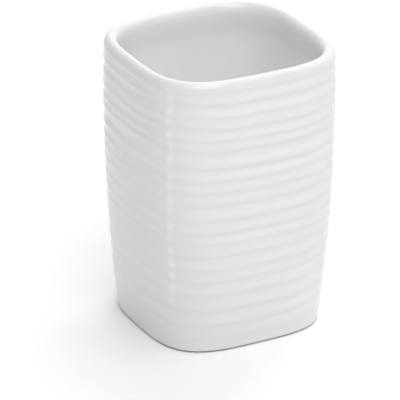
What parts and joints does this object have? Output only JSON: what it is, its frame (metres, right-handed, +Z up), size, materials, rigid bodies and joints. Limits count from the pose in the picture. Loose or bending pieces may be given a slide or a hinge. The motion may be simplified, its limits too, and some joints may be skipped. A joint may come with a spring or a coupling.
{
  "type": "toothbrush holder",
  "caption": "Open ceramic tumbler with a rounded-square barrel body, fine thrown-look rings and a thick rolled lip, for standing toothbrushes in.",
  "frame": {"origin": "on the surface the holder stands on, under the middle of the tumbler", "axes": "+Z up out of the mouth; -Y towards the face that the picture shows at the right; +X to that face's right"},
  "size_m": [0.0738, 0.0712, 0.105],
  "materials": {
    "white_glaze": "gloss",
    "silicone": "satin"
  },
  "bodies": {
    "root": {"ceramic_tumbler": "white_glaze", "foot_pad_front_left": "silicone", "foot_pad_front_right": "silicone", "foot_pad_back_left": "silicone", "foot_pad_back_right": "silicone"}
  },
  "joints": []
}
